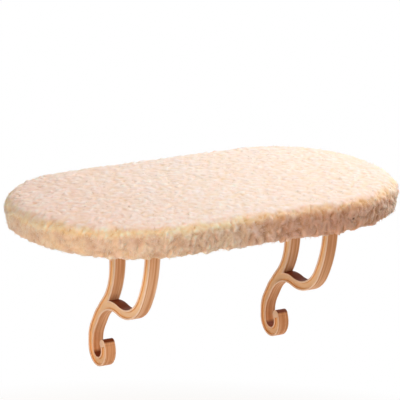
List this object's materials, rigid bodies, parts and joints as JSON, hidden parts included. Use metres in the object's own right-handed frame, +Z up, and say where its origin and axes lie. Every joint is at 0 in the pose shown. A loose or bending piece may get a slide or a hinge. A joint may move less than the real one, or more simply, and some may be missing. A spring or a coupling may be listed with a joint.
{
  "type": "window mounted cat perch",
  "caption": "Padded fleece-covered shelf for a pet, fastened to a window sill and held level by scrolled brackets that lean on the wall below and slide under thumb screws",
  "frame": {"origin": "centre of the hook strip's underside, on the sill's top", "axes": "+X along the window to the right as seen from the room, +Y towards the window, +Z up"},
  "size_m": [0.61, 0.357, 0.2765],
  "materials": {
    "fleece": "matte",
    "elastic": "matte",
    "foam": "matte",
    "board": "matte",
    "loop_tape": "matte",
    "hook_tape": "matte",
    "bracket_plastic": "satin",
    "knob_plastic": "satin",
    "zinc_steel": "satin"
  },
  "bodies": {
    "shelf": {"fleece_cover": "fleece", "hem_elastic": "elastic", "foam_pad": "foam", "shelf_board": "board", "loop_strip": "loop_tape", "hook_strip": "hook_tape", "left_outer_tee_nut": "zinc_steel", "left_inner_tee_nut": "zinc_steel", "right_inner_tee_nut": "zinc_steel", "right_outer_tee_nut": "zinc_steel"},
    "left_bracket": {"left_bracket": "bracket_plastic"},
    "right_bracket": {"right_bracket": "bracket_plastic"},
    "left_outer_washer": {"left_outer_washer": "zinc_steel"},
    "left_outer_screw": {"left_outer_knob": "knob_plastic", "left_outer_stud": "zinc_steel"},
    "left_inner_washer": {"left_inner_washer": "zinc_steel"},
    "left_inner_screw": {"left_inner_knob": "knob_plastic", "left_inner_stud": "zinc_steel"},
    "right_inner_washer": {"right_inner_washer": "zinc_steel"},
    "right_inner_screw": {"right_inner_knob": "knob_plastic", "right_inner_stud": "zinc_steel"},
    "right_outer_washer": {"right_outer_washer": "zinc_steel"},
    "right_outer_screw": {"right_outer_knob": "knob_plastic", "right_outer_stud": "zinc_steel"}
  },
  "joints": [
    {"name": "left_bracket_slide", "type": "slide", "parent": "shelf", "child": "left_bracket", "axis": [0, 1, 0], "range_m": [-0.012, 0.03]},
    {"name": "right_bracket_slide", "type": "slide", "parent": "shelf", "child": "right_bracket", "axis": [0, 1, 0], "range_m": [-0.012, 0.03]},
    {"name": "left_outer_screw_lower", "type": "slide", "parent": "shelf", "child": "left_outer_washer", "axis": [0, 0, -1], "range_m": [0, 0.0021]},
    {"name": "left_outer_screw_turn", "type": "hinge", "parent": "left_outer_washer", "child": "left_outer_screw", "pos_m": [-0.1725, -0.18285, 0], "axis": [0, 0, -1], "range_deg": [0, 720]},
    {"name": "left_inner_screw_lower", "type": "slide", "parent": "shelf", "child": "left_inner_washer", "axis": [0, 0, -1], "range_m": [0, 0.0021]},
    {"name": "left_inner_screw_turn", "type": "hinge", "parent": "left_inner_washer", "child": "left_inner_screw", "pos_m": [-0.1305, -0.18285, 0], "axis": [0, 0, -1], "range_deg": [0, 720]},
    {"name": "right_inner_screw_lower", "type": "slide", "parent": "shelf", "child": "right_inner_washer", "axis": [0, 0, -1], "range_m": [0, 0.0021]},
    {"name": "right_inner_screw_turn", "type": "hinge", "parent": "right_inner_washer", "child": "right_inner_screw", "pos_m": [0.1305, -0.18285, 0], "axis": [0, 0, -1], "range_deg": [0, 720]},
    {"name": "right_outer_screw_lower", "type": "slide", "parent": "shelf", "child": "right_outer_washer", "axis": [0, 0, -1], "range_m": [0, 0.0021]},
    {"name": "right_outer_screw_turn", "type": "hinge", "parent": "right_outer_washer", "child": "right_outer_screw", "pos_m": [0.1725, -0.18285, 0], "axis": [0, 0, -1], "range_deg": [0, 720]}
  ],
  "couplings": [
    {"joint": "left_outer_screw_lower", "follows": "left_outer_screw_turn", "m_per_rad": 0.00015915},
    {"joint": "left_inner_screw_lower", "follows": "left_inner_screw_turn", "m_per_rad": 0.00015915},
    {"joint": "right_inner_screw_lower", "follows": "right_inner_screw_turn", "m_per_rad": 0.00015915},
    {"joint": "right_outer_screw_lower", "follows": "right_outer_screw_turn", "m_per_rad": 0.00015915}
  ]
}
